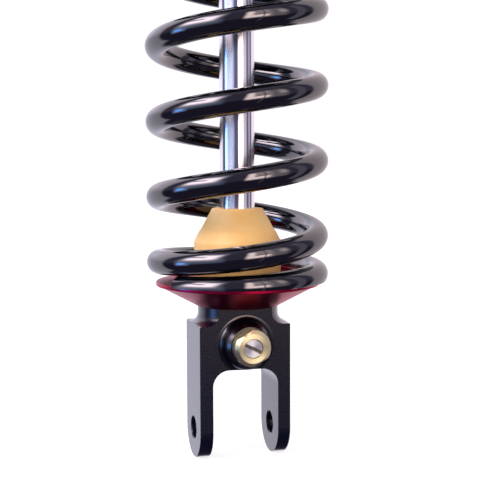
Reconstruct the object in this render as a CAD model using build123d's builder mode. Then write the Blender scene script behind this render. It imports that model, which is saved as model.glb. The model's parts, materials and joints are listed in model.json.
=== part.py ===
"""Motorcycle rear shock absorber: a monotube damper inside a coil spring.

Millimetres. The origin is the centre of the lower clevis bolt, +Z runs up the damper shaft, and both
mounting bolts lie along X. The rebound adjuster faces -Y.
"""

import os
from math import cos, pi, radians, sin, tan

from build123d import *

os.makedirs("parts", exist_ok=True)

# ---- driving dimensions ---------------------------------------------------------------------------
BOLT_R = 5.1            # clearance hole for an M10 mounting bolt, at both ends
SHAFT_R = 8.0
TUBE_BORE_R = 23.0
TUBE_R = 25.0
THREAD_R = 25.5         # crest of the preload thread on the tube
THREAD_PITCH = 1.5
RUNNING = 0.05          # radial clearance of a running fit
PRESSED = 0.02          # radial clearance of a part seated in its housing
GAP = 0.3               # space between pieces that move apart

CLEVIS_WIDTH = 42.6
CLEVIS_DEPTH = 27.3
CLEVIS_GAP = 30.6
CLEVIS_SLOT_TOP = 28.35
CLEVIS_SLOT_CORNER_R = 7.6
CLEVIS_SHOULDER = 48.6
CLEVIS_NECK_R = 18.5
CLEVIS_NECK_FILLET = 4.5

ADJUSTER_HEIGHT = 40.0  # height of the rebound adjuster's axis
ADJUSTER_FACE = -26.6   # front face of the brass bush
BUSH_R = 8.35           # the brass bush, round with two spanner flats
BUSH_FLATS = 14.6       # across the flats
BUSH_FLATS_TURN = 31.0
SCREW_R = 4.35
ROD_R = 2.95

SEAT_UNDERSIDE = 56.3   # where the lower spring seat meets the clevis neck
SEAT_PLANE = 67.67      # the ground end of the spring stands here
SEAT_R = 37.6
SEAT_SPIGOT_R = 30.0
BUMP_STOP_FOOT = 66.0
BUMP_STOP_TOP = 101.0
BUMP_STOP_R = 20.0

WIRE_R = 5.5
COIL_R = 36.2           # mean radius of the spring
COIL_PITCH = 34.1
COIL_TURNS = 8.7
COIL_START = -150.0     # direction of the lower wire end, degrees from +X
END_PITCH = 10.8        # the closed end coils
END_TURNS = 0.9
RAMP_TURNS = 0.35       # from the end pitch to the full pitch
TIP_SINK = 0.5          # how far the wire's centre starts below the seat plane

TUBE_BOTTOM = 204.0
TUBE_TOP = 396.0
THREAD_BOTTOM = 290.0
THREAD_TOP = 356.0
PISTON_SHOULDER = 233.3 # the shaft steps down here to carry the piston
SHAFT_TOP = 260.0
FLOATING_PISTON_FOOT = 360.0
CAP_SPIGOT = 388.0
EYE_HEIGHT = 424.0
EYE_R = 18.0
EYE_HALF_WIDTH = 11.0
RACE_R = 14.0
BALL_R = 11.0
SLEEVE_R = 6.5
SLEEVE_HALF_LENGTH = 15.0

SHIM_THICKNESS = 0.5
SHIM_SLIT = 0.02        # oil film between two shims
shaft_end_r = 5.0       # the M10 end that carries the piston

adjuster_axis = Axis((0, 0, ADJUSTER_HEIGHT), (0, 1, 0))
eye_axis = Axis((0, 0, EYE_HEIGHT), (1, 0, 0))
clevis_end_r = CLEVIS_DEPTH / 2


# ---- helpers --------------------------------------------------------------------------------------
def save(piece, name):
    """Label a finished piece and write it as its own STEP file."""
    piece.part.label = name
    export_step(piece.part, f"parts/{name}.step")


def turned(corners, axis=Axis.Z, plane=Plane.XZ):
    """A piece turned about an axis from the corners of its half section."""
    with BuildPart() as piece:
        with BuildSketch(plane):
            with BuildLine():
                Polyline(*corners, close=True)
            make_face()
        revolve(axis=axis)
    return piece


def ring(inner, outer, low, high, edge=0.0):
    """A plain ring about the shaft axis, with its outer edges broken if edge is given."""
    corners = [(inner, low), (outer - edge, low), (outer, low + edge), (outer, high - edge),
               (outer - edge, high), (inner, high)]
    if not edge:
        corners = [(inner, low), (outer, low), (outer, high), (inner, high)]
    return turned(corners)


def o_ring(centre_r, height, section_r):
    """A rubber ring of round section about the shaft axis."""
    with BuildPart() as piece:
        with BuildSketch(Plane.XZ):
            with Locations((centre_r, height)):
                Circle(section_r)
        revolve(axis=Axis.Z)
    return piece


def shim_stack(radii, low, thickness):
    """Thin steel discs on the shaft's end, one on another, each a separate solid."""
    with BuildPart() as stack:
        for place, radius in enumerate(radii):
            with BuildSketch(Plane.XY.offset(low + place * thickness)):
                Circle(radius)
                Circle(shaft_end_r + RUNNING, mode=Mode.SUBTRACT)
            extrude(amount=thickness - SHIM_SLIT)
    return stack


# ---- lower clevis ---------------------------------------------------------------------------------
# One block: two arms with round ends, a shoulder, and a turned neck cut flat in line with the faces.
SHAFT_FOOT = 46.5
SPIGOT_TOP = 62.0
clevis_spigot_r = 13.5
shaft_thread_r = 7.0
adjuster_bore_r = 6.0
adjuster_bore_end = -6.0
pin_bore_r = ROD_R + RUNNING
pin_bore_end = 3.5

with BuildPart() as lower_clevis:
    with BuildSketch(Plane.YZ):
        Circle(clevis_end_r)
        with Locations((0, CLEVIS_SHOULDER / 2)):
            Rectangle(CLEVIS_DEPTH, CLEVIS_SHOULDER)
    extrude(amount=CLEVIS_WIDTH / 2, both=True)
    chamfer(lower_clevis.faces().filter_by(Axis.X).edges(), length=0.4)
    with BuildSketch(Plane.XZ):
        with Locations((0, (CLEVIS_SLOT_TOP - 2 * clevis_end_r) / 2)):
            RectangleRounded(CLEVIS_GAP, CLEVIS_SLOT_TOP + 2 * clevis_end_r, CLEVIS_SLOT_CORNER_R)
        with Locations((0, -clevis_end_r)):
            Rectangle(CLEVIS_GAP, CLEVIS_DEPTH)
    extrude(amount=CLEVIS_DEPTH, both=True, mode=Mode.SUBTRACT)
    with BuildSketch(Plane.YZ):
        Circle(BOLT_R)
    extrude(amount=CLEVIS_WIDTH, both=True, mode=Mode.SUBTRACT)
    chamfer(lower_clevis.edges().filter_by(GeomType.CIRCLE).filter_by(
        lambda edge: abs(edge.radius - BOLT_R) < 0.01), length=0.5)

with BuildPart() as clevis_neck:
    with BuildSketch(Plane.XZ):
        with BuildLine():
            foot = (CLEVIS_NECK_R + CLEVIS_NECK_FILLET, CLEVIS_SHOULDER)
            waist = (CLEVIS_NECK_R, CLEVIS_SHOULDER + CLEVIS_NECK_FILLET)
            RadiusArc(foot, waist, CLEVIS_NECK_FILLET)
            Polyline(waist, (CLEVIS_NECK_R, SEAT_UNDERSIDE), (0, SEAT_UNDERSIDE),
                     (0, CLEVIS_SHOULDER - 1), (foot[0], CLEVIS_SHOULDER - 1), foot)
        make_face()
    revolve(axis=Axis.Z)
    with BuildSketch(Plane.XY.offset(CLEVIS_SHOULDER - 1)):
        Rectangle(CLEVIS_WIDTH, CLEVIS_DEPTH)
    extrude(amount=SEAT_UNDERSIDE - CLEVIS_SHOULDER + 1, mode=Mode.INTERSECT)

with lower_clevis:
    add(clevis_neck.part)
    with BuildSketch(Plane.XY.offset(SEAT_UNDERSIDE)):
        Circle(clevis_spigot_r)
    extrude(amount=SPIGOT_TOP - SEAT_UNDERSIDE)
    with BuildSketch(Plane.XY.offset(SHAFT_FOOT)):
        Circle(shaft_thread_r + PRESSED)
    extrude(amount=SPIGOT_TOP - SHAFT_FOOT, mode=Mode.SUBTRACT)
    with BuildSketch(Plane.XY.offset(ADJUSTER_HEIGHT)):
        Circle(pin_bore_r)
    extrude(amount=SHAFT_FOOT - ADJUSTER_HEIGHT, mode=Mode.SUBTRACT)
    with BuildSketch(Plane.XZ.offset(-pin_bore_end)):
        with Locations((0, ADJUSTER_HEIGHT)):
            Circle(pin_bore_r)
    extrude(amount=CLEVIS_DEPTH, mode=Mode.SUBTRACT)
    with BuildSketch(Plane.XZ.offset(-adjuster_bore_end)):
        with Locations((0, ADJUSTER_HEIGHT)):
            Circle(adjuster_bore_r)
    extrude(amount=CLEVIS_DEPTH, mode=Mode.SUBTRACT)
save(lower_clevis, "lower_clevis")

# ---- rebound adjuster, all turned about an axis along Y -------------------------------------------
adjuster_plane = Plane.XY.offset(ADJUSTER_HEIGHT)
BUSH_FOOT = -21.0
BUSH_SPIGOT_END = -17.0
DETENT_Y = -15.3
DETENT_HOLE_DEPTH = 9.2     # from the adjuster's axis
SCREW_END = -12.0
SCREW_SOCKET_END = -20.0
PIN_TAIL_R = 1.5
PIN_TAIL_END = -18.5
PIN_SHOULDER = -8.5
PIN_CONE_START = -1.9
PIN_TIP_R = 0.6
boss_r = 11.3
boss_flare = 2.0            # fillet where the boss spreads onto the clevis
boss_front_r = 9.0
bush_spigot_r = 5.5
screw_bore_r = SCREW_R + 0.1
clevis_face = -clevis_end_r

with BuildPart() as adjuster_body:
    with BuildSketch(adjuster_plane):
        with BuildLine():
            Polyline((boss_front_r, BUSH_FOOT), (bush_spigot_r + PRESSED, BUSH_FOOT),
                     (bush_spigot_r + PRESSED, BUSH_SPIGOT_END), (screw_bore_r, BUSH_SPIGOT_END),
                     (screw_bore_r, SCREW_END + GAP), (pin_bore_r, SCREW_END + GAP),
                     (pin_bore_r, adjuster_bore_end), (adjuster_bore_r - PRESSED, adjuster_bore_end),
                     (adjuster_bore_r - PRESSED, clevis_face), (boss_r + boss_flare, clevis_face))
            RadiusArc((boss_r + boss_flare, clevis_face), (boss_r, clevis_face - boss_flare), -boss_flare)
            Spline((boss_r, clevis_face - boss_flare), (10.6, -18.6), (boss_front_r, BUSH_FOOT),
                   tangents=[(0, -1), (-0.7, -1)])
        make_face()
    revolve(axis=adjuster_axis)
    with BuildSketch(Plane.XY.offset(ADJUSTER_HEIGHT)):
        with Locations((0, DETENT_Y)):
            Circle(1.3)
    extrude(amount=DETENT_HOLE_DEPTH, mode=Mode.SUBTRACT)
    # The flare is trimmed flush with the top of the clevis slot.
    with Locations((0, clevis_face, CLEVIS_SLOT_TOP)):
        Box(CLEVIS_WIDTH, CLEVIS_DEPTH, CLEVIS_DEPTH, align=(Align.CENTER, Align.MAX, Align.MAX),
            mode=Mode.SUBTRACT)
save(adjuster_body, "adjuster_body")

bush_ring_r = 6.6       # the flat face ring, inside the bevel
bush_bevel = (BUSH_R - bush_ring_r) * tan(radians(35))
with BuildPart() as adjuster_bush:
    with BuildSketch(adjuster_plane):
        with BuildLine():
            Polyline((0, BUSH_FOOT), (BUSH_R, BUSH_FOOT), (BUSH_R, ADJUSTER_FACE + bush_bevel),
                     (bush_ring_r, ADJUSTER_FACE), (0, ADJUSTER_FACE), close=True)
        make_face()
    revolve(axis=adjuster_axis)
    with BuildSketch(Plane.XZ.offset(-BUSH_FOOT)):
        with Locations((0, ADJUSTER_HEIGHT)):
            Rectangle(3 * BUSH_R, BUSH_FLATS, rotation=BUSH_FLATS_TURN)
    extrude(amount=BUSH_FOOT - ADJUSTER_FACE, mode=Mode.INTERSECT)
    with BuildSketch(Plane.XZ.offset(-BUSH_SPIGOT_END)):
        with Locations((0, ADJUSTER_HEIGHT)):
            Circle(bush_spigot_r)
    extrude(amount=BUSH_SPIGOT_END - BUSH_FOOT)
    with BuildSketch(Plane.XZ.offset(-BUSH_SPIGOT_END - 1)):
        with Locations((0, ADJUSTER_HEIGHT)):
            Circle(screw_bore_r)
    extrude(amount=CLEVIS_DEPTH, both=True, mode=Mode.SUBTRACT)
save(adjuster_bush, "adjuster_bush")

SLOT_WIDTH = 1.5
SLOT_DEPTH = 1.4
SLOT_TURN = -27.0
SCREW_FACE = ADJUSTER_FACE + 0.7
groove_r = SCREW_R - 0.9
GROOVE_LOW, GROOVE_HIGH = -19.5, -18.0

with BuildPart() as rebound_screw:
    with BuildSketch(adjuster_plane):
        with BuildLine():
            Polyline((0, SCREW_FACE), (SCREW_R - 0.3, SCREW_FACE), (SCREW_R, SCREW_FACE + 0.3),
                     (SCREW_R, GROOVE_LOW), (groove_r, GROOVE_LOW), (groove_r, GROOVE_HIGH),
                     (SCREW_R, GROOVE_HIGH), (SCREW_R, SCREW_END), (PIN_TAIL_R + RUNNING, SCREW_END),
                     (PIN_TAIL_R + RUNNING, SCREW_SOCKET_END), (0, SCREW_SOCKET_END), close=True)
        make_face()
    revolve(axis=adjuster_axis)
    with BuildSketch(Plane.XZ.offset(-SCREW_FACE - SLOT_DEPTH)):
        with Locations((0, ADJUSTER_HEIGHT)):
            Rectangle(3 * SCREW_R, SLOT_WIDTH, rotation=SLOT_TURN)
    extrude(amount=2 * SLOT_DEPTH, mode=Mode.SUBTRACT)
save(rebound_screw, "rebound_screw")

with BuildPart() as adjuster_o_ring:
    with BuildSketch(adjuster_plane):
        with Locations((groove_r + 0.47, (GROOVE_LOW + GROOVE_HIGH) / 2)):
            Circle(0.45)
    revolve(axis=adjuster_axis)
save(adjuster_o_ring, "adjuster_o_ring")

save(turned([(0, PIN_TAIL_END), (PIN_TAIL_R, PIN_TAIL_END), (PIN_TAIL_R, PIN_SHOULDER),
             (ROD_R, PIN_SHOULDER), (ROD_R, PIN_CONE_START),
             (PIN_TIP_R, PIN_CONE_START + ROD_R - PIN_TIP_R), (0, PIN_CONE_START + ROD_R - PIN_TIP_R)],
            adjuster_axis, adjuster_plane), "rebound_taper_pin")

# A spring-loaded ball gives the screw its clicks.
DETENT_BALL_R = 1.2
detent_ball_height = ADJUSTER_HEIGHT + SCREW_R + DETENT_BALL_R + RUNNING
with BuildPart() as detent_ball:
    with Locations((0, DETENT_Y, detent_ball_height)):
        Sphere(DETENT_BALL_R)
save(detent_ball, "detent_ball")

with BuildPart() as detent_spring:
    with BuildLine() as detent_path:
        Helix(0.8, 2.0, 0.8, center=(0, DETENT_Y, detent_ball_height + DETENT_BALL_R + 0.2))
    with BuildSketch(Plane(detent_path.line @ 0, z_dir=detent_path.line % 0)):
        Circle(0.15)
    sweep(path=detent_path.wires()[0], is_frenet=True)
save(detent_spring, "detent_spring")

# The taper pin's 45 degree cone lifts the rod, whose needle throttles the shaft's orifice.
ROD_FOOT = ADJUSTER_HEIGHT + ROD_R + PIN_CONE_START + 0.5 + 0.07
ROD_FOOT_R = 0.5
ORIFICE = 242.0
BLEED_PORT = 230.0
orifice_r = 1.6
save(turned([(0, ROD_FOOT), (ROD_FOOT_R, ROD_FOOT), (ROD_R, ROD_FOOT + ROD_R - ROD_FOOT_R),
             (ROD_R, BLEED_PORT - 5), (1.9, BLEED_PORT - 4), (1.9, ORIFICE - 3), (0.6, ORIFICE + 2),
             (0, ORIFICE + 2)]), "rebound_rod")

# ---- damper shaft and its seat --------------------------------------------------------------------
with BuildPart() as damper_shaft:
    with BuildSketch(Plane.XZ):
        with BuildLine():
            Polyline((pin_bore_r, SHAFT_FOOT), (shaft_thread_r - 0.5, SHAFT_FOOT),
                     (shaft_thread_r, SHAFT_FOOT + 0.5), (shaft_thread_r, SPIGOT_TOP),
                     (SHAFT_R, SPIGOT_TOP), (SHAFT_R, PISTON_SHOULDER), (shaft_end_r, PISTON_SHOULDER),
                     (shaft_end_r, SHAFT_TOP - 0.5), (shaft_end_r - 0.5, SHAFT_TOP),
                     (orifice_r, SHAFT_TOP), (orifice_r, ORIFICE), (pin_bore_r, ORIFICE), close=True)
        make_face()
    revolve(axis=Axis.Z)
    with BuildSketch(Plane.YZ):
        with Locations((0, BLEED_PORT)):
            Circle(1.2)
    extrude(amount=SHAFT_R + 1, both=True, mode=Mode.SUBTRACT)
save(damper_shaft, "damper_shaft")

RIM_BAND = 1.8
SEAT_WEB = 4.0
seat_cone_foot_r = 19.0
seat_cone_top_r = 36.5
seat_floor_r = 26.0
spigot_height = 4.3
with BuildPart() as lower_spring_seat:
    with BuildSketch(Plane.XZ):
        with BuildLine():
            Polyline((SHAFT_R + RUNNING, SPIGOT_TOP), (clevis_spigot_r + RUNNING, SPIGOT_TOP),
                     (clevis_spigot_r + RUNNING, SEAT_UNDERSIDE), (seat_cone_foot_r - 1, SEAT_UNDERSIDE))
            ThreePointArc((seat_cone_foot_r - 1, SEAT_UNDERSIDE),
                          (seat_cone_foot_r + 0.05, SEAT_UNDERSIDE + 0.2),
                          (seat_cone_foot_r + 1, SEAT_UNDERSIDE + 0.75))
            Polyline((seat_cone_foot_r + 1, SEAT_UNDERSIDE + 0.75), (seat_cone_top_r, SEAT_PLANE - RIM_BAND),
                     (SEAT_R - 0.3, SEAT_PLANE - RIM_BAND), (SEAT_R, SEAT_PLANE - RIM_BAND + 0.3),
                     (SEAT_R, SEAT_PLANE - 0.3), (SEAT_R - 0.3, SEAT_PLANE), (SEAT_SPIGOT_R, SEAT_PLANE),
                     (SEAT_SPIGOT_R, SEAT_PLANE + spigot_height - 1),
                     (SEAT_SPIGOT_R - 1, SEAT_PLANE + spigot_height),
                     (seat_floor_r, SEAT_PLANE + spigot_height), (seat_floor_r, BUMP_STOP_FOOT),
                     (SHAFT_R + RUNNING, BUMP_STOP_FOOT), (SHAFT_R + RUNNING, SPIGOT_TOP))
        make_face()
    revolve(axis=Axis.Z)
save(lower_spring_seat, "lower_spring_seat")

bump_cone_start = 86.0
bump_top_r = 11.4
with BuildPart() as bump_stop:
    with BuildSketch(Plane.XZ):
        with BuildLine():
            Polyline((SHAFT_R + 0.1, BUMP_STOP_FOOT), (BUMP_STOP_R - 1, BUMP_STOP_FOOT),
                     (BUMP_STOP_R, BUMP_STOP_FOOT + 1), (BUMP_STOP_R, bump_cone_start - 1.5))
            Spline((BUMP_STOP_R, bump_cone_start - 1.5), (BUMP_STOP_R - 0.5, bump_cone_start + 1),
                   tangents=[(0, 1), (-0.5, 0.85)])
            Polyline((BUMP_STOP_R - 0.5, bump_cone_start + 1), (bump_top_r + 0.8, BUMP_STOP_TOP - 1.2),
                     (bump_top_r, BUMP_STOP_TOP), (SHAFT_R + 0.1, BUMP_STOP_TOP),
                     (SHAFT_R + 0.1, BUMP_STOP_FOOT))
        make_face()
    revolve(axis=Axis.Z)
save(bump_stop, "bump_stop")

# ---- piston, on the shaft's stepped end -----------------------------------------------------------
PLATE_TOP = PISTON_SHOULDER + 2.5
shim_radii = [10, 12, 14, 16, 18]
STACK = len(shim_radii) * SHIM_THICKNESS
PISTON_FOOT = PLATE_TOP + STACK
PISTON_TOP = PISTON_FOOT + 12.0
NUT_FOOT = PISTON_TOP + STACK
NUT_HEIGHT = 6.0
port_circle_r = 13.5
band_groove_r = 21.8

save(ring(shaft_end_r + RUNNING, 17.0, PISTON_SHOULDER, PLATE_TOP - SHIM_SLIT, 0.3),
     "piston_backing_plate")
save(shim_stack(shim_radii, PLATE_TOP, SHIM_THICKNESS), "compression_shims")
save(shim_stack(shim_radii[::-1], PISTON_TOP, SHIM_THICKNESS), "rebound_shims")

with BuildPart() as main_piston:
    with BuildSketch(Plane.XZ):
        with BuildLine():
            Polyline((shaft_end_r + RUNNING, PISTON_FOOT), (22.6, PISTON_FOOT), (22.6, PISTON_FOOT + 2),
                     (band_groove_r, PISTON_FOOT + 2), (band_groove_r, PISTON_TOP - 2 - SHIM_SLIT),
                     (22.6, PISTON_TOP - 2 - SHIM_SLIT), (22.6, PISTON_TOP - SHIM_SLIT),
                     (shaft_end_r + RUNNING, PISTON_TOP - SHIM_SLIT), close=True)
        make_face()
    revolve(axis=Axis.Z)
    with BuildSketch(Plane.XY.offset(PISTON_FOOT)):
        with PolarLocations(port_circle_r, 8):
            Circle(2.2)
    extrude(amount=PISTON_TOP - PISTON_FOOT, mode=Mode.SUBTRACT)
save(main_piston, "main_piston")
save(ring(band_groove_r, TUBE_BORE_R - 0.04, PISTON_FOOT + 2.1, PISTON_TOP - 2.2), "piston_band")

with BuildPart() as piston_nut:
    with BuildSketch(Plane.XY.offset(NUT_FOOT)):
        RegularPolygon(17 / 2, 6, major_radius=False)
        Circle(shaft_end_r + RUNNING, mode=Mode.SUBTRACT)
    extrude(amount=NUT_HEIGHT)
save(piston_nut, "piston_nut")

# ---- seal head, held in the tube's lower end ------------------------------------------------------
CAP_FACE = 201.0
LIP = 200.0
RETAINER = 208.0
SEAL_HEAD_FOOT = 209.6
SEAL_HEAD_TOP = 228.0
OIL_SEAL_TOP = 214.0
BUSH_TOP = 226.5
seated_r = TUBE_BORE_R - PRESSED
seal_pocket_r = 13.0
bush_outer_r = 9.5

save(turned([(9.0, RETAINER), (9.0, 206.0), (seal_pocket_r, 206.0), (seal_pocket_r, CAP_FACE),
             (TUBE_R - 0.8, CAP_FACE), (TUBE_R, CAP_FACE + 0.8), (TUBE_R, TUBE_BOTTOM),
             (seated_r, TUBE_BOTTOM), (seated_r, RETAINER)]), "dust_cap")
save(turned([(SHAFT_R + 0.03, LIP), (9.0, LIP), (10.5, CAP_FACE + 0.6), (seal_pocket_r - PRESSED, 202.2),
             (seal_pocket_r - PRESSED, 205.9), (SHAFT_R + 0.03, 205.9)]), "dust_wiper")

with BuildPart() as seal_head_circlip:
    with BuildSketch(Plane.XY.offset(RETAINER + PRESSED)):
        Circle(TUBE_BORE_R + 1.0)
        Circle(TUBE_BORE_R - 2.2, mode=Mode.SUBTRACT)
        with Locations((0, TUBE_BORE_R)):
            Rectangle(12, 9, mode=Mode.SUBTRACT)
    extrude(amount=SEAL_HEAD_FOOT - RETAINER - 2 * PRESSED)
save(seal_head_circlip, "seal_head_circlip")

O_RING_R = 0.9
O_RING_GROOVE = 217.0
save(turned([(seal_pocket_r, SEAL_HEAD_FOOT), (seated_r, SEAL_HEAD_FOOT), (seated_r, O_RING_GROOVE - 1.2),
             (seated_r - 1.9, O_RING_GROOVE - 1.2), (seated_r - 1.9, O_RING_GROOVE + 1.2),
             (seated_r, O_RING_GROOVE + 1.2), (seated_r, SEAL_HEAD_TOP), (SHAFT_R + 0.3, SEAL_HEAD_TOP),
             (SHAFT_R + 0.3, BUSH_TOP), (bush_outer_r + PRESSED, BUSH_TOP),
             (bush_outer_r + PRESSED, OIL_SEAL_TOP), (seal_pocket_r, OIL_SEAL_TOP)]), "seal_head")
save(ring(SHAFT_R + 0.03, seal_pocket_r - PRESSED, SEAL_HEAD_FOOT, OIL_SEAL_TOP - PRESSED), "shaft_oil_seal")
save(ring(SHAFT_R + 0.04, bush_outer_r, OIL_SEAL_TOP + 0.2, BUSH_TOP - 0.1), "shaft_bush")
save(o_ring(seated_r - O_RING_R - PRESSED, O_RING_GROOVE, O_RING_R), "seal_head_o_ring")
save(ring(SHAFT_R + 1, 16.0, SEAL_HEAD_TOP, PISTON_SHOULDER - GAP, 0.8), "top_out_bumper")

# ---- damper tube, with the preload thread cut round it --------------------------------------------
THREAD_DEPTH = 0.8
retainer_groove_r = TUBE_BORE_R + 1.02
thread = []
for turn in range(int((THREAD_TOP - THREAD_BOTTOM) / THREAD_PITCH)):
    low = THREAD_BOTTOM + turn * THREAD_PITCH
    thread += [(THREAD_R, low + 0.1), (THREAD_R, low + 0.35), (THREAD_R - THREAD_DEPTH, low + 0.85),
               (THREAD_R - THREAD_DEPTH, low + 1.05), (THREAD_R, low + THREAD_PITCH)]
save(turned([(TUBE_BORE_R, TUBE_BOTTOM), (TUBE_R, TUBE_BOTTOM), (TUBE_R, THREAD_BOTTOM - 0.5)] + thread +
            [(TUBE_R, THREAD_TOP + 0.5), (TUBE_R, TUBE_TOP), (TUBE_BORE_R, TUBE_TOP),
             (TUBE_BORE_R, SEAL_HEAD_FOOT), (retainer_groove_r, SEAL_HEAD_FOOT),
             (retainer_groove_r, RETAINER), (TUBE_BORE_R, RETAINER)]), "damper_tube")

# ---- floating piston between oil and gas ----------------------------------------------------------
FLOATING_PISTON_TOP = FLOATING_PISTON_FOOT + 12.0
floating_r = TUBE_BORE_R - 0.04
groove_height = FLOATING_PISTON_FOOT + 6.0
save(turned([(0, FLOATING_PISTON_FOOT), (floating_r - 0.5, FLOATING_PISTON_FOOT),
             (floating_r, FLOATING_PISTON_FOOT + 0.5), (floating_r, groove_height - 1.2),
             (floating_r - 1.9, groove_height - 1.2), (floating_r - 1.9, groove_height + 1.2),
             (floating_r, groove_height + 1.2), (floating_r, FLOATING_PISTON_TOP),
             (17.0, FLOATING_PISTON_TOP), (15.0, FLOATING_PISTON_FOOT + 4), (0, FLOATING_PISTON_FOOT + 4)]),
     "floating_piston")
save(o_ring(floating_r - O_RING_R, groove_height, O_RING_R), "floating_piston_o_ring")

# ---- spring, closed and ground flat at both ends --------------------------------------------------
def coil_height(turns):
    """Height of the wire's centre above the seat plane, from the lower tip to mid-spring."""
    closed = min(turns, END_TURNS)
    ramp = min(max(turns - END_TURNS, 0), RAMP_TURNS)
    free = max(turns - END_TURNS - RAMP_TURNS, 0)
    ramp_rise = END_PITCH * ramp + (COIL_PITCH - END_PITCH) * ramp ** 2 / (2 * RAMP_TURNS)
    return END_PITCH * closed - TIP_SINK + ramp_rise + COIL_PITCH * free


spring_length = 2 * coil_height(COIL_TURNS / 2)
UPPER_PLANE = SEAT_PLANE + spring_length
STEPS_PER_TURN = 24
route = []
steps = round(COIL_TURNS * STEPS_PER_TURN)
for step in range(steps + 1):
    turns = COIL_TURNS * step / steps
    height = coil_height(turns) if turns < COIL_TURNS / 2 else spring_length - coil_height(COIL_TURNS - turns)
    angle = radians(COIL_START) + 2 * pi * turns
    route.append((COIL_R * cos(angle), COIL_R * sin(angle), SEAT_PLANE + height))

with BuildPart() as coil_spring:
    with BuildLine() as coil_path:
        Spline(*route)
    with BuildSketch(Plane(coil_path.line @ 0, z_dir=coil_path.line % 0)):
        Circle(WIRE_R)
    sweep(path=coil_path.wires()[0], is_frenet=True)
    split(bisect_by=Plane.XY.offset(SEAT_PLANE), keep=Keep.TOP)
    split(bisect_by=Plane.XY.offset(UPPER_PLANE), keep=Keep.BOTTOM)
save(coil_spring, "coil_spring")

# ---- upper spring seat and the two rings that set its height --------------------------------------
SEAT_THICKNESS = 5.0
ring_bore_r = THREAD_R + RUNNING
RING_R = 33.0
PRELOAD_FOOT = UPPER_PLANE + SEAT_THICKNESS + GAP
PRELOAD_TOP = PRELOAD_FOOT + 11.0
LOCK_FOOT = PRELOAD_TOP + GAP
LOCK_TOP = LOCK_FOOT + 7.0
SPANNER_SLOTS = 8

save(turned([(ring_bore_r, UPPER_PLANE - spigot_height), (SEAT_SPIGOT_R - 1, UPPER_PLANE - spigot_height),
             (SEAT_SPIGOT_R, UPPER_PLANE - spigot_height + 1), (SEAT_SPIGOT_R, UPPER_PLANE),
             (SEAT_R - 0.3, UPPER_PLANE), (SEAT_R, UPPER_PLANE + 0.3), (SEAT_R, UPPER_PLANE + 2.5),
             (RING_R, UPPER_PLANE + SEAT_THICKNESS), (ring_bore_r, UPPER_PLANE + SEAT_THICKNESS)]),
     "upper_spring_seat")


def spanner_ring(low, high):
    """A threaded ring with slots round it for a C spanner."""
    with BuildPart() as piece:
        with BuildSketch(Plane.XY.offset(low)):
            Circle(RING_R)
            Circle(ring_bore_r, mode=Mode.SUBTRACT)
        extrude(amount=high - low)
        chamfer(piece.edges().filter_by(GeomType.CIRCLE).group_by(SortBy.RADIUS)[-1], length=0.6)
        with BuildSketch(Plane.XY.offset(low)):
            with PolarLocations(RING_R, SPANNER_SLOTS):
                Rectangle(6.0, 5.0)
        extrude(amount=high - low, mode=Mode.SUBTRACT)
    return piece


save(spanner_ring(PRELOAD_FOOT, PRELOAD_TOP), "preload_ring")
save(spanner_ring(LOCK_FOOT, LOCK_TOP), "lock_ring")

# ---- upper eye, screwed into the tube -------------------------------------------------------------
EYE_NECK = TUBE_TOP + 4.0
NECK_HALF_DEPTH = 21.0
VALVE_HEIGHT = 407.0
valve_bore_r = 4.0
gas_way_r = 1.5
groove_inner_x, groove_outer_x = 6.0, 7.2
circlip_r = RACE_R + 0.6

with BuildPart() as upper_eye:
    with BuildSketch(Plane.XY.offset(CAP_SPIGOT)):
        Circle(seated_r)
    extrude(amount=TUBE_TOP - CAP_SPIGOT)
    with BuildSketch(Plane.XY.offset(TUBE_TOP)):
        Circle(TUBE_R)
    extrude(amount=EYE_NECK - TUBE_TOP)
    chamfer(upper_eye.edges().group_by(Axis.Z)[-1], length=0.8)
    with BuildSketch(Plane.YZ):
        with BuildLine():
            CenterArc((0, EYE_HEIGHT), EYE_R, 0, 360)
        make_face()
        Polygon((-NECK_HALF_DEPTH, EYE_NECK), (NECK_HALF_DEPTH, EYE_NECK), (EYE_R, EYE_HEIGHT),
                (-EYE_R, EYE_HEIGHT), align=None)
    extrude(amount=EYE_HALF_WIDTH, both=True)
    with BuildSketch(Plane.YZ):
        with Locations((0, EYE_HEIGHT)):
            Circle(RACE_R)
    extrude(amount=EYE_HALF_WIDTH + 1, both=True, mode=Mode.SUBTRACT)
    for side in (-1, 1):
        with BuildSketch(Plane.YZ.offset(side * (groove_inner_x + groove_outer_x) / 2)):
            with Locations((0, EYE_HEIGHT)):
                Circle(circlip_r + RUNNING)
        extrude(amount=(groove_outer_x - groove_inner_x) / 2, both=True, mode=Mode.SUBTRACT)
    with BuildSketch(Plane.XZ):
        with Locations((0, VALVE_HEIGHT)):
            Circle(gas_way_r)
    extrude(amount=-12, mode=Mode.SUBTRACT)
    with BuildSketch(Plane.XZ.offset(-10)):
        with Locations((0, VALVE_HEIGHT)):
            Circle(valve_bore_r)
    extrude(amount=-20, mode=Mode.SUBTRACT)
    with BuildSketch(Plane.XY.offset(CAP_SPIGOT)):
        Circle(gas_way_r)
    extrude(amount=VALVE_HEIGHT - CAP_SPIGOT, mode=Mode.SUBTRACT)
save(upper_eye, "upper_eye")

valve_axis = Axis((0, 0, VALVE_HEIGHT), (0, 1, 0))
valve_plane = Plane.XY.offset(VALVE_HEIGHT)
save(turned([(0.6, 10), (valve_bore_r - PRESSED, 10), (valve_bore_r - PRESSED, 22), (3.9, 22), (3.9, 26),
             (2.6, 26), (2.6, 31), (0.6, 31)], valve_axis, valve_plane), "gas_valve")
save(turned([(0, 32.5), (4.2, 32.5), (4.6, 32.1), (4.6, 26.5), (2.65, 26.5), (2.65, 31.5), (0, 31.5)],
            valve_axis, valve_plane), "gas_valve_cap")


def eye_turned(corners):
    """A piece turned about the upper bolt, from corners of (distance along X, radius)."""
    return turned([(x, EYE_HEIGHT + radius) for x, radius in corners], eye_axis)


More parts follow.
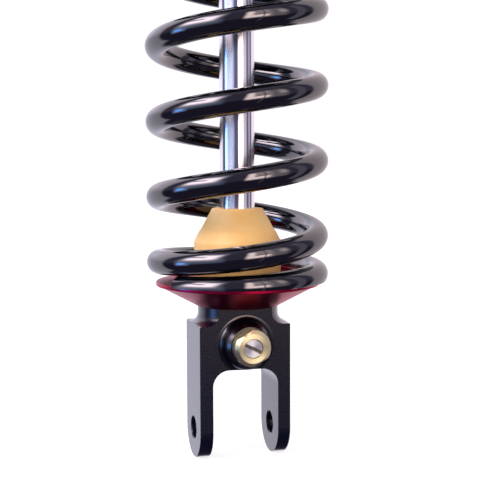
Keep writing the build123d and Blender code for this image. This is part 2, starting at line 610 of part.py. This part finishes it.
RACE_HALF_WIDTH = 6.0
BALL_HALF_WIDTH = 8.0
with BuildPart() as bearing_race:
    with BuildSketch(Plane.YZ):
        with Locations((0, EYE_HEIGHT)):
            Circle(RACE_R - PRESSED)
    extrude(amount=RACE_HALF_WIDTH - PRESSED, both=True)
    with Locations((0, 0, EYE_HEIGHT)):
        Sphere(BALL_R + RUNNING, mode=Mode.SUBTRACT)
save(bearing_race, "bearing_race")

with BuildPart() as bearing_ball:
    with Locations((0, 0, EYE_HEIGHT)):
        Sphere(BALL_R)
    with BuildSketch(Plane.YZ):
        with Locations((0, EYE_HEIGHT)):
            Circle(BALL_R + 1)
            Circle(SLEEVE_R + PRESSED, mode=Mode.SUBTRACT)
    extrude(amount=BALL_HALF_WIDTH, both=True, mode=Mode.INTERSECT)
save(bearing_ball, "bearing_ball")

save(eye_turned([(-SLEEVE_HALF_LENGTH, BOLT_R), (SLEEVE_HALF_LENGTH, BOLT_R),
                 (SLEEVE_HALF_LENGTH, SLEEVE_R - 0.4), (SLEEVE_HALF_LENGTH - 0.4, SLEEVE_R),
                 (0.4 - SLEEVE_HALF_LENGTH, SLEEVE_R), (-SLEEVE_HALF_LENGTH, SLEEVE_R - 0.4)]),
     "eye_sleeve")

with BuildPart() as bearing_circlips:
    for side in (-1, 1):
        with BuildSketch(Plane.YZ.offset(side * (groove_inner_x + groove_outer_x) / 2)):
            with Locations((0, EYE_HEIGHT)):
                Circle(circlip_r)
                Circle(RACE_R - 1.6, mode=Mode.SUBTRACT)
            with Locations((0, EYE_HEIGHT + RACE_R)):
                Rectangle(6, 6, mode=Mode.SUBTRACT)
        extrude(amount=(groove_outer_x - groove_inner_x) / 2 - PRESSED, both=True)
save(bearing_circlips, "bearing_circlips")

SEAL_INNER_X, SEAL_OUTER_X = 8.5, 10.9
with BuildPart() as bearing_dust_seals:
    for side in (-1, 1):
        with BuildSketch(Plane.YZ.offset(side * (SEAL_INNER_X + SEAL_OUTER_X) / 2)):
            with Locations((0, EYE_HEIGHT)):
                Circle(RACE_R - PRESSED)
                Circle(SLEEVE_R + 0.06, mode=Mode.SUBTRACT)
        extrude(amount=(SEAL_OUTER_X - SEAL_INNER_X) / 2, both=True)
save(bearing_dust_seals, "bearing_dust_seals")
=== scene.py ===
"""Looks of the rear shock absorber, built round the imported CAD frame. Metres, +Z up the shaft."""

import json
import math
from functools import partial

import bmesh
import bpy
from mathutils import Matrix, Vector

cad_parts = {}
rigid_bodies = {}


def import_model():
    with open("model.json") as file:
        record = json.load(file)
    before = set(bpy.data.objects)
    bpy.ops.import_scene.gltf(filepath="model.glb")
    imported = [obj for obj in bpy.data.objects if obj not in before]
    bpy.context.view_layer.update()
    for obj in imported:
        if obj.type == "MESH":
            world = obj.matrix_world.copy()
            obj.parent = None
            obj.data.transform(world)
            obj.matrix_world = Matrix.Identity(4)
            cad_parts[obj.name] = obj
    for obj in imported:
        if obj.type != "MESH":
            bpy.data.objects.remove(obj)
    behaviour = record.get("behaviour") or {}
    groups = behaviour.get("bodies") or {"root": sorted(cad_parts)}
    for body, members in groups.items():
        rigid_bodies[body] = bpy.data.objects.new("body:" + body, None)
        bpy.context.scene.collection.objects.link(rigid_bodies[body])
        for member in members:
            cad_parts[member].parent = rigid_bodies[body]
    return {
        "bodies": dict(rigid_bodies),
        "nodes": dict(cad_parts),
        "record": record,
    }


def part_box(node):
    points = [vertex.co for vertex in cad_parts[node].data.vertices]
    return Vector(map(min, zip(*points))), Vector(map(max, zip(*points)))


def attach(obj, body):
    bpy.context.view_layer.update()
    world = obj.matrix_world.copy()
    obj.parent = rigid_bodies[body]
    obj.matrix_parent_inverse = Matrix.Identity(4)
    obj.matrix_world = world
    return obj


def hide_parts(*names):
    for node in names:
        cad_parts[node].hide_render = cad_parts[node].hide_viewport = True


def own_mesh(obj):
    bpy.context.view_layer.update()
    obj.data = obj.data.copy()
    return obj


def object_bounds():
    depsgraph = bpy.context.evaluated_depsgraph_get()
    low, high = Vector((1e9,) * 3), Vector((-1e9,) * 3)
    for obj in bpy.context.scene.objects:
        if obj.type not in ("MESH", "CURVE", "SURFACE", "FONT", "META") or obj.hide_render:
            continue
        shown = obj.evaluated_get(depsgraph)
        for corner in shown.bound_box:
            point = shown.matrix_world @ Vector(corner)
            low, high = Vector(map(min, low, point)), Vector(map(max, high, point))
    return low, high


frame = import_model()
cad_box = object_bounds()
nodes = frame["nodes"]
record = frame["record"]
MM = 0.001

# ---- camera: a long lens, a little above the adjuster and to its left -------------------------------
CAMERA_AZIMUTH = math.radians(15.481)     # from -Y towards -X
CAMERA_PITCH = math.radians(5.003)        # looking down
CAMERA_ROLL = math.radians(-0.226)
CAMERA_DISTANCE = 541.0 * MM
CAMERA_SIDESTEP = 1.195 * MM
AIM_HEIGHT = 86.23 * MM
LENS = 88.1


def make_camera():
    """The camera looks at the shaft a little above the spring seat."""
    back = Vector((-math.sin(CAMERA_AZIMUTH) * math.cos(CAMERA_PITCH),
                   -math.cos(CAMERA_AZIMUTH) * math.cos(CAMERA_PITCH), math.sin(CAMERA_PITCH)))
    right = Vector((math.cos(CAMERA_AZIMUTH), -math.sin(CAMERA_AZIMUTH), 0))
    up = back.cross(right)
    place = Vector((0, 0, AIM_HEIGHT)) + right * CAMERA_SIDESTEP + back * CAMERA_DISTANCE
    turned_right = right * math.cos(CAMERA_ROLL) + up * math.sin(CAMERA_ROLL)
    turned_up = up * math.cos(CAMERA_ROLL) - right * math.sin(CAMERA_ROLL)
    data = bpy.data.cameras.new("camera")
    data.lens = LENS
    data.sensor_width = 36.0
    data.clip_start = 0.01
    camera = bpy.data.objects.new("camera", data)
    axes = Matrix((turned_right, turned_up, back)).transposed()
    camera.matrix_world = Matrix.Translation(place) @ axes.to_4x4()
    bpy.context.scene.collection.objects.link(camera)
    bpy.context.scene.camera = camera


make_camera()


# ---- helpers for node trees -------------------------------------------------------------------------
def add_node(tree, kind, **settings):
    """Adds a node to a tree and sets its properties."""
    made = tree.nodes.new(kind)
    for key, value in settings.items():
        setattr(made, key, value)
    return made


def add_math(tree, operation, *values):
    """Adds a math node whose inputs are plain numbers or sockets to link from."""
    made = add_node(tree, "ShaderNodeMath", operation=operation)
    for socket, value in zip(made.inputs, values):
        if isinstance(value, (int, float)):
            socket.default_value = value
        else:
            tree.links.new(value, socket)
    return made.outputs[0]


# ---- materials --------------------------------------------------------------------------------------
class Look:
    """A material made node by node, with the few node patterns that the pieces share."""

    def __init__(self, name, colour, metallic=0.0, roughness=0.4, **sockets):
        self.material = bpy.data.materials.new(name)
        self.material.use_nodes = True
        self.tree = self.material.node_tree
        self.shader = self.tree.nodes["Principled BSDF"]
        self.set("Base Color", (*colour, 1.0))
        self.set("Metallic", metallic)
        self.set("Roughness", roughness)
        for socket, value in sockets.items():
            self.set(socket.replace("_", " "), value)

    def set(self, socket, value):
        self.shader.inputs[socket].default_value = value

    def node(self, kind, **settings):
        return add_node(self.tree, kind, **settings)

    def link(self, source, target):
        self.tree.links.new(source, target)

    def place(self):
        """The point on the piece at rest, in metres."""
        return self.node("ShaderNodeTexCoord").outputs["Object"]

    def noise(self, per_mm, detail=3.0, place=None):
        """Noise whose features are about 1/per_mm millimetres across."""
        noise = self.node("ShaderNodeTexNoise")
        noise.inputs["Scale"].default_value = per_mm / MM
        noise.inputs["Detail"].default_value = detail
        self.link(place or self.place(), noise.inputs["Vector"])
        return noise.outputs["Fac"]

    def ramp(self, factor, low, high, low_at=0.3, high_at=0.7):
        """A value that goes from low to high while factor goes from low_at to high_at."""
        ramp = self.node("ShaderNodeMapRange")
        ramp.inputs["From Min"].default_value = low_at
        ramp.inputs["From Max"].default_value = high_at
        ramp.inputs["To Min"].default_value = low
        ramp.inputs["To Max"].default_value = high
        self.link(factor, ramp.inputs["Value"])
        return ramp.outputs["Result"]

    def mix(self, factor, low, high):
        """A colour between low and high."""
        mix = self.node("ShaderNodeMix", data_type="RGBA")
        self.link(factor, mix.inputs["Factor"])
        mix.inputs["A"].default_value = (*low, 1.0)
        mix.inputs["B"].default_value = (*high, 1.0)
        return mix.outputs["Result"]

    def bump(self, height, depth_mm):
        """Relief of depth_mm from a height that runs from 0 to 1."""
        bump = self.node("ShaderNodeBump")
        bump.inputs["Strength"].default_value = 1.0
        bump.inputs["Distance"].default_value = depth_mm * MM
        self.link(height, bump.inputs["Height"])
        self.link(bump.outputs["Normal"], self.shader.inputs["Normal"])

    def grain_round(self, axis, strength=0.7):
        """Lays the fine lathe or grinding lines round the piece's own axis."""
        self.set("Anisotropic", strength)
        self.set("Anisotropic Rotation", 0.25)
        tangent = self.node("ShaderNodeTangent", direction_type="RADIAL", axis=axis)
        self.link(tangent.outputs["Tangent"], self.shader.inputs["Tangent"])

    def vary_roughness(self, factor, low, high):
        """Lets the roughness wander between low and high with factor."""
        self.link(self.ramp(factor, low, high), self.shader.inputs["Roughness"])

    def vary_colour(self, factor, low, high):
        """Lets the base colour wander between low and high with factor."""
        self.link(self.mix(self.ramp(factor, 0, 1), low, high), self.shader.inputs["Base Color"])


def rings_about(look, axis, centre, per_mm):
    """Noise that is the same all round a turned piece and changes along it and outwards."""
    shift = look.node("ShaderNodeVectorMath", operation="SUBTRACT")
    look.link(look.place(), shift.inputs[0])
    shift.inputs[1].default_value = centre
    flat = look.node("ShaderNodeVectorMath", operation="MULTIPLY")
    look.link(shift.outputs["Vector"], flat.inputs[0])
    flat.inputs[1].default_value = [0.0 if letter == axis else 1.0 for letter in "XYZ"]
    radius = look.node("ShaderNodeVectorMath", operation="LENGTH")
    look.link(flat.outputs["Vector"], radius.inputs[0])
    split = look.node("ShaderNodeSeparateXYZ")
    look.link(shift.outputs["Vector"], split.inputs["Vector"])
    join = look.node("ShaderNodeCombineXYZ")
    look.link(radius.outputs["Value"], join.inputs["X"])
    look.link(split.outputs[axis], join.inputs["Y"])
    return look.noise(per_mm, 2.0, join.outputs["Vector"])


ADJUSTER_CENTRE = (0, 0, 40 * MM)
EYE_CENTRE = tuple(record["mounts"][1]["pos_m"])


def black_anodised():
    """Milled aluminium, satin black."""
    look = Look("black_anodised", (0.0005, 0.002, 0.010), 0.0, 0.28, IOR=1.33, Coat_Weight=1.0,
                Coat_IOR=1.3, Coat_Roughness=0.2)
    look.vary_roughness(look.noise(0.9, 4.0), 0.24, 0.32)
    look.bump(look.noise(6.0, 2.0), 0.0003)
    return look.material


def black_turned():
    """The polished black boss round the adjuster."""
    look = Look("black_turned", (0.001, 0.001, 0.003), 0.0, 0.20, IOR=1.65)
    look.bump(rings_about(look, "Y", ADJUSTER_CENTRE, 3.0), 0.0015)
    return look.material


def red_anodised():
    """Turned aluminium, bright dipped and dyed red."""
    look = Look("red_anodised", (0.40, 0.006, 0.045), 1.0, 0.33)
    marks = rings_about(look, "Z", (0, 0, 0), 2.5)
    look.vary_colour(marks, (0.36, 0.004, 0.036), (0.44, 0.009, 0.055))
    look.vary_roughness(marks, 0.30, 0.36)
    look.bump(marks, 0.0008)
    return look.material


def brass(name, axis, centre):
    """Turned brass, bright and pale."""
    look = Look(name, (0.95, 0.87, 0.50), 1.0, 0.30)
    look.grain_round(axis)
    marks = rings_about(look, axis, centre, 4.0)
    look.vary_colour(marks, (0.93, 0.84, 0.44), (0.97, 0.91, 0.56))
    look.bump(marks, 0.0008)
    return look.material


def steel(name, colour, roughness, axis=None, centre=(0, 0, 0)):
    """Bare metal, with lathe rings round an axis where one is given."""
    look = Look(name, colour, 1.0, roughness)
    if axis:
        look.grain_round(axis)
    marks = rings_about(look, axis, centre, 5.0) if axis else look.noise(3.0)
    look.vary_roughness(marks, roughness * 0.8, roughness * 1.25)
    look.bump(marks, 0.001)
    return look.material


def steel_with_painted_slot_shade(name, colour, roughness, axis, centre, face):
    """Turned steel, darkened with painted shade wherever it is behind the face plane, as in the slot."""
    look = Look(name, colour, 1.0, roughness)
    look.grain_round(axis)
    split = look.node("ShaderNodeSeparateXYZ")
    look.link(look.place(), split.inputs[0])
    # painted shade: the colour turns dark brown from 0.2 to 0.7 mm behind the screw's face, so the slot
    # looks shadowed
    painted_slot_shade = look.ramp(split.outputs[axis], 0, 1, face + 0.2 * MM, face + 0.7 * MM)
    look.link(look.mix(painted_slot_shade, colour, (0.16, 0.14, 0.12)), look.shader.inputs["Base Color"])
    look.bump(rings_about(look, axis, centre, 5.0), 0.001)
    return look.material


def chrome():
    """Hard chrome, ground round and polished, so highlights stretch along the shaft."""
    look = Look("chrome_shaft", (0.92, 0.92, 0.94), 1.0, 0.16)
    look.grain_round("Z", 1.0)
    return look.material


def powder_coat():
    """Gloss black powder coat with a little orange peel."""
    look = Look("spring_coat", (0.0004, 0.0003, 0.0008), 0.0, 0.05, IOR=2.0)
    look.bump(look.noise(0.45, 1.5), 0.006)
    return look.material


def foam():
    """Skinned microcellular foam."""
    look = Look("yellow_foam", (0.99, 0.66, 0.22), 0.0, 0.50)
    look.vary_colour(look.noise(0.12), (0.98, 0.62, 0.19), (0.99, 0.70, 0.26))
    look.vary_roughness(look.noise(1.5), 0.42, 0.58)
    look.bump(look.noise(2.0), 0.02)
    return look.material


def rubber():
    """Black seal rubber."""
    look = Look("rubber", (0.018, 0.018, 0.018), 0.0, 0.6)
    look.bump(look.noise(3.0), 0.02)
    return look.material


def plastic(name, colour, roughness):
    """Moulded plastic with a slightly uneven sheen."""
    look = Look(name, colour, 0.0, roughness)
    look.vary_roughness(look.noise(1.0), roughness * 0.85, roughness * 1.15)
    look.bump(look.noise(4.0, 2.0), 0.006)
    return look.material


looks = {
    "black_anodised": black_anodised(),
    "red_anodised": red_anodised(),
    "brass": brass("brass", "Y", ADJUSTER_CENTRE),
    "screw_steel": steel_with_painted_slot_shade("screw_steel", (0.62, 0.66, 0.67), 0.34, "Y", ADJUSTER_CENTRE,
                                 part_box("rebound_screw")[0].y),
    "chrome_shaft": chrome(),
    "spring_coat": powder_coat(),
    "yellow_foam": foam(),
    "rubber": rubber(),
    "natural_aluminium": steel("natural_aluminium", (0.80, 0.81, 0.82), 0.28, "Z"),
    "tube_anodised": steel("tube_anodised", (0.62, 0.63, 0.66), 0.30, "Z"),
    "hardened_steel": steel("hardened_steel", (0.56, 0.57, 0.60), 0.20, "X", EYE_CENTRE),
    "spring_steel": steel("spring_steel", (0.22, 0.23, 0.27), 0.30),
    "ptfe": plastic("ptfe", (0.22, 0.13, 0.07), 0.5),
    "bronze": steel("bronze", (0.55, 0.34, 0.16), 0.35, "Z"),
    "valve_plastic": plastic("valve_plastic", (0.02, 0.02, 0.02), 0.45),
}
slot_of = {part["node"]: part["material_slot"] for part in record["subparts"]}


def dress(piece, material):
    """Gives a piece its one material."""
    piece.data.materials.clear()
    piece.data.materials.append(material)


for name, node in nodes.items():
    dress(node, looks[slot_of[name]])
dress(nodes["adjuster_body"], black_turned())


# ---- bump stop: a turned piece that moves with the shaft --------------------------------------------
def turned_mesh(name, outline, segments=160):
    """A mesh turned about the shaft axis from (radius, height) points in metres."""
    mesh = bmesh.new()
    rows = []
    for step in range(segments):
        angle = 2 * math.pi * step / segments
        rows.append([mesh.verts.new((r * math.cos(angle), r * math.sin(angle), z)) for r, z in outline])
    for step, row in enumerate(rows):
        following = rows[(step + 1) % segments]
        for place in range(len(outline)):
            after = (place + 1) % len(outline)
            mesh.faces.new((row[place], following[place], following[after], row[after]))
    bmesh.ops.recalc_face_normals(mesh, faces=mesh.faces)
    data = bpy.data.meshes.new(name)
    mesh.to_mesh(data)
    mesh.free()
    data.shade_smooth()
    piece = bpy.data.objects.new(name, data)
    bpy.context.scene.collection.objects.link(piece)
    return piece


LARGEST_SHARE = 0.49        # how much of a side one rounded corner may take


def rounded(corners, steps=6):
    """Points of a closed outline whose corners (radius, height, rounding) are rounded by arcs."""
    points = []
    count = len(corners)
    for place, (x, y, rounding) in enumerate(corners):
        here = Vector((x, y))
        before = Vector(corners[place - 1][:2]) - here
        after = Vector(corners[(place + 1) % count][:2]) - here
        if rounding <= 0:
            points.append(tuple(here))
            continue
        half = before.angle(after) / 2
        back_off = min(rounding / math.tan(half), before.length * LARGEST_SHARE,
                       after.length * LARGEST_SHARE)
        radius = back_off * math.tan(half)
        centre = here + (before.normalized() + after.normalized()).normalized() * radius / math.sin(half)
        start = here + before.normalized() * back_off - centre
        end = here + after.normalized() * back_off - centre
        turn = start.angle_signed(end)
        for step in range(steps + 1):
            arm = start.copy()
            arm.rotate(Matrix.Rotation(-turn * step / steps, 2))
            points.append(tuple(centre + arm))
    return points


stop_low, stop_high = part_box("bump_stop")
stop_foot, stop_top = stop_low.z, stop_high.z
stop_r = stop_high.x
stop_bore_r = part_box("damper_shaft")[1].x + 0.1 * MM
cone_foot = stop_foot + 20 * MM
crease = stop_foot + 25.2 * MM      # a shallow moulded line round the cone
crease_r = 17.0 * MM
cone_top_r = 11.6 * MM
bump_stop = turned_mesh("foam_bump_stop", rounded([
    (stop_bore_r, stop_foot, 0), (stop_r, stop_foot, 1 * MM), (stop_r, cone_foot, 3 * MM),
    (crease_r + 0.35 * MM, crease - 0.3 * MM, 0.3 * MM), (crease_r, crease, 0.2 * MM),
    (crease_r - 0.25 * MM, crease + 0.3 * MM, 0.3 * MM),
    (cone_top_r, stop_top, 1.1 * MM), (stop_bore_r, stop_top, 0)]))
dress(bump_stop, looks["yellow_foam"])
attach(bump_stop, "shaft_assembly")
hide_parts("bump_stop")
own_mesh(bump_stop)


# ---- coil spring: a round wire swept along a path that closes up between the two seats --------------
# The wire and its turns are those of the CAD spring.
spring_low, spring_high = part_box("coil_spring")
WIRE_R = 5.5 * MM
COIL_R = 36.2 * MM          # mean radius
COIL_TURNS = 8.7
COIL_START = math.radians(-150)
COIL_PITCH = 34.1 * MM
END_PITCH = 10.8 * MM       # the closed end coils
END_TURNS = 0.9
RAMP_TURNS = 0.35           # from the end pitch to the full pitch
TIP_SINK = 0.5 * MM         # how far the wire's centre starts below the seat
SEAT_FILM = 0.04 * MM       # the ground ends stop this far from the seats
PATH_STEPS = 640
WIRE_SIDES = 48
SHARP_EDGE = math.radians(14)   # the ground ends' edges are sharper than this


def coil_height(turns):
    """Height of the wire's centre above the seat, from the lower tip to mid-spring."""
    closed = min(turns, END_TURNS)
    ramp = min(max(turns - END_TURNS, 0), RAMP_TURNS)
    free = max(turns - END_TURNS - RAMP_TURNS, 0)
    ramp_rise = END_PITCH * ramp + (COIL_PITCH - END_PITCH) * ramp ** 2 / (2 * RAMP_TURNS)
    return END_PITCH * closed - TIP_SINK + ramp_rise + COIL_PITCH * free


def coil_path():
    """Points of the wire's centre line, and the share of the upper seat's travel that each one takes."""
    length = spring_high.z - spring_low.z
    closed_rise = coil_height(END_TURNS)
    free_rise = length - 2 * closed_rise
    points, shares = [], []
    for step in range(PATH_STEPS + 1):
        turns = COIL_TURNS * step / PATH_STEPS
        if turns < COIL_TURNS / 2:
            height = coil_height(turns)
        else:
            height = length - coil_height(COIL_TURNS - turns)
        angle = COIL_START + 2 * math.pi * turns
        points.append((COIL_R * math.cos(angle), COIL_R * math.sin(angle), spring_low.z + height))
        shares.append(min(1.0, max(0.0, (height - closed_rise) / free_rise)))
    return points, shares


def spring_nodes(lower_seat, upper_seat):
    """Geometry nodes that slide each path point with the seats and sweep the round wire along it."""
    group = bpy.data.node_groups.new("coil_spring_wire", "GeometryNodeTree")
    group.interface.new_socket("Geometry", in_out="INPUT", socket_type="NodeSocketGeometry")
    group.interface.new_socket("Geometry", in_out="OUTPUT", socket_type="NodeSocketGeometry")
    node = partial(add_node, group)
    math_node = partial(add_math, group)
    link = group.links.new

    def travel(body):
        """How far a body has moved up from rest, in the spring's own frame."""
        info = node("GeometryNodeObjectInfo", transform_space="RELATIVE")
        info.inputs["Object"].default_value = body
        split = node("ShaderNodeSeparateXYZ")
        link(info.outputs["Location"], split.inputs[0])
        return split.outputs["Z"]

    def named(name):
        made = node("GeometryNodeInputNamedAttribute", data_type="FLOAT")
        made.inputs["Name"].default_value = name
        return made.outputs[0]

    def set_height(geometry, height):
        """Moves each point of a geometry to height(its present height)."""
        position = node("GeometryNodeInputPosition")
        split = node("ShaderNodeSeparateXYZ")
        link(position.outputs[0], split.inputs[0])
        join = node("ShaderNodeCombineXYZ")
        link(split.outputs["X"], join.inputs["X"])
        link(split.outputs["Y"], join.inputs["Y"])
        link(height(split.outputs["Z"]), join.inputs["Z"])
        move = node("GeometryNodeSetPosition")
        link(geometry, move.inputs["Geometry"])
        link(join.outputs[0], move.inputs["Position"])
        return move.outputs["Geometry"]

    start, end = node("NodeGroupInput"), node("NodeGroupOutput")
    lower, upper = travel(lower_seat), travel(upper_seat)
    share = named("share")
    shift = math_node("ADD", math_node("MULTIPLY", lower, math_node("SUBTRACT", 1.0, share)),
                      math_node("MULTIPLY", upper, share))
    path = set_height(start.outputs[0], lambda z: math_node("ADD", named("rest_height"), shift))
    curve = node("GeometryNodeMeshToCurve")
    link(path, curve.inputs[0])
    section = node("GeometryNodeCurvePrimitiveCircle")
    section.inputs["Resolution"].default_value = WIRE_SIDES
    section.inputs["Radius"].default_value = WIRE_R
    sweep = node("GeometryNodeCurveToMesh")
    link(curve.outputs[0], sweep.inputs["Curve"])
    link(section.outputs[0], sweep.inputs["Profile Curve"])
    sweep.inputs["Fill Caps"].default_value = True
    lowest = math_node("ADD", lower, spring_low.z + SEAT_FILM)
    highest = math_node("ADD", upper, spring_high.z - SEAT_FILM)
    ground = set_height(sweep.outputs[0],
                        lambda z: math_node("MINIMUM", math_node("MAXIMUM", z, lowest), highest))
    smooth = node("GeometryNodeSetShadeSmooth", domain="FACE")
    link(ground, smooth.inputs["Geometry"])
    angle = node("GeometryNodeInputMeshEdgeAngle")
    sharp = node("GeometryNodeSetShadeSmooth", domain="EDGE")
    link(smooth.outputs[0], sharp.inputs["Geometry"])
    link(math_node("GREATER_THAN", angle.outputs["Unsigned Angle"], SHARP_EDGE),
         sharp.inputs["Selection"])
    sharp.inputs["Shade Smooth"].default_value = False
    paint = node("GeometryNodeSetMaterial")
    link(sharp.outputs[0], paint.inputs["Geometry"])
    paint.inputs["Material"].default_value = looks["spring_coat"]
    link(paint.outputs[0], end.inputs[0])
    return group


def make_spring():
    """The coated wire, swept along its path by geometry nodes."""
    points, shares = coil_path()
    data = bpy.data.meshes.new("coated_spring")
    data.from_pydata(points, [(step, step + 1) for step in range(len(points) - 1)], [])
    data.attributes.new("rest_height", "FLOAT", "POINT").data.foreach_set("value", [p[2] for p in points])
    data.attributes.new("share", "FLOAT", "POINT").data.foreach_set("value", shares)
    spring = bpy.data.objects.new("coated_spring", data)
    bpy.context.scene.collection.objects.link(spring)
    modifier = spring.modifiers.new("wire", "NODES")
    modifier.node_group = spring_nodes(frame["bodies"]["shaft_assembly"], frame["bodies"]["spring_seat"])
    data.materials.append(looks["spring_coat"])
    return spring


spring = make_spring()
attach(spring, "damper_body")
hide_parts("coil_spring")
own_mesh(spring)


# ---- studio -----------------------------------------------------------------------------------------
FRONT = -CAMERA_AZIMUTH     # the side that the studio lights face, turned from -Y towards +X
# Soft-edged panels of light round the object: azimuth from the front in degrees, positive to the right,
# elevation in degrees, width of the soft edge, and radiance. Each one covers those before it.
PANELS = (
    ("front, upper", (-200, 200), (2, 95), 7, (0.20, 0.18, 0.30)),
    ("overhead", (-200, 200), (62, 95), 6, (0.28, 0.25, 0.38)),
    ("left fill", (-84, -17), (-9, 20), 5, (0.42, 0.54, 0.84)),
    ("left box, glow", (-84, -26), (8, 62), 9, (1.6, 1.5, 1.9)),
    ("left box", (-78, -33), (22, 54), 8, (9.2, 7.8, 8.6)),
    ("left box, bar", (-84, -53), (38, 45), 3, (1.4, 1.3, 1.7)),
    ("blue lamp, glow", (-84, -64), (-16, 5), 4, (0.85, 1.15, 2.2)),
    ("blue lamp", (-81, -70), (-9, 3), 3, (1.0, 3.0, 8.0)),
    ("right wing", (30, 66), (-5, 54), 6, (0.80, 0.72, 0.78)),
    ("right glow", (11, 44), (-5, 54), 5, (1.8, 1.45, 1.5)),
    ("right box", (10, 40), (1, 17), 4, (6.0, 4.8, 4.7)),
    ("right box, tall", (10, 20), (12, 50), 4, (6.0, 4.8, 4.7)),
    ("right lamp", (55, 65), (17, 42), 5, (2.2, 1.85, 1.95)),
    ("right bar", (20, 42), (19, 23), 2, (0.45, 0.40, 0.46)),
    ("right frame", (33, 35), (-35, 60), 1.5, (0.45, 0.42, 0.50)),
    ("grey strip", (81, 95), (-35, 52), 3, (0.46, 0.41, 0.54)),
    ("right backdrop", (110, 200), (-42, 56), 4, (0.96, 0.84, 0.92)),
    ("left backdrop", (-200, -108), (-42, 60), 4, (0.94, 0.92, 1.08)),
    ("left backdrop, upper", (-160, -112), (10, 56), 8, (1.6, 1.45, 1.7)),
)
BELOW = (0.07, 0.06, 0.12)      # radiance wherever no panel is
BACKGROUND = 1.05               # just past white
FLOOR_SIZE = 6.0


def make_world():
    """The studio as seen from the object, and plain white wherever the camera looks past the object."""
    world = bpy.data.worlds.new("studio")
    bpy.context.scene.world = world
    world.use_nodes = True
    tree = world.node_tree
    tree.nodes.clear()
    node = partial(add_node, tree)
    math_node = partial(add_math, tree)
    link = tree.links.new

    def smooth_step(value, start, end):
        """Goes from 0 to 1 while an angle goes from start to end, in degrees."""
        step = node("ShaderNodeMapRange", interpolation_type="SMOOTHSTEP")
        step.inputs["From Min"].default_value = math.radians(start)
        step.inputs["From Max"].default_value = math.radians(end)
        link(value, step.inputs["Value"])
        return step.outputs["Result"]

    def span(value, low, high, blur):
        """Is 1 while an angle is between low and high, with soft ends."""
        rise = smooth_step(value, low - blur, low + blur)
        fall = smooth_step(value, high + blur, high - blur)
        return math_node("MULTIPLY", rise, fall)

    coordinates = node("ShaderNodeTexCoord")
    turn = node("ShaderNodeVectorRotate", rotation_type="Z_AXIS")
    turn.inputs["Angle"].default_value = math.pi / 2 - FRONT
    link(coordinates.outputs["Generated"], turn.inputs["Vector"])
    split = node("ShaderNodeSeparateXYZ")
    link(turn.outputs["Vector"], split.inputs[0])
    azimuth = math_node("ARCTAN2", split.outputs["Y"], split.outputs["X"])
    elevation = math_node("ARCSINE", split.outputs["Z"])
    light = node("ShaderNodeRGB")
    light.outputs[0].default_value = (*BELOW, 1)
    radiance = light.outputs[0]
    for name, azimuths, elevations, blur, colour in PANELS:
        cover = math_node("MULTIPLY", span(azimuth, *azimuths, blur), span(elevation, *elevations, blur))
        mix = node("ShaderNodeMix", data_type="RGBA", label=name)
        mix.inputs["B"].default_value = (*colour, 1)
        link(cover, mix.inputs["Factor"])
        link(radiance, mix.inputs["A"])
        radiance = mix.outputs["Result"]
    around = node("ShaderNodeBackground")
    link(radiance, around.inputs["Color"])
    seen = node("ShaderNodeBackground")
    seen.inputs["Color"].default_value = (1, 1, 1, 1)
    seen.inputs["Strength"].default_value = BACKGROUND
    path = node("ShaderNodeLightPath")
    choose = node("ShaderNodeMixShader")
    link(path.outputs["Is Camera Ray"], choose.inputs["Fac"])
    link(around.outputs[0], choose.inputs[1])
    link(seen.outputs[0], choose.inputs[2])
    output = node("ShaderNodeOutputWorld")
    link(choose.outputs[0], output.inputs["Surface"])


def make_floor():
    """A plain pale floor under the clevis. Only the camera sees it, so it changes no reflection."""
    mesh = bmesh.new()
    bmesh.ops.create_grid(mesh, x_segments=1, y_segments=1, size=FLOOR_SIZE / 2)
    data = bpy.data.meshes.new("floor")
    mesh.to_mesh(data)
    mesh.free()
    floor = bpy.data.objects.new("floor", data)
    floor.location.z = cad_box[0][2]
    bpy.context.scene.collection.objects.link(floor)
    dress(floor, Look("floor_paint", (0.40, 0.40, 0.40), 0.0, 1.0, Specular_IOR_Level=0.0,
                      Emission_Color=(1, 1, 1, 1), Emission_Strength=0.78).material)
    floor.visible_diffuse = False
    floor.visible_glossy = False
    floor.visible_shadow = False


make_world()
make_floor()
scene = bpy.context.scene
scene.view_settings.view_transform = "Standard"
scene.view_settings.look = "None"
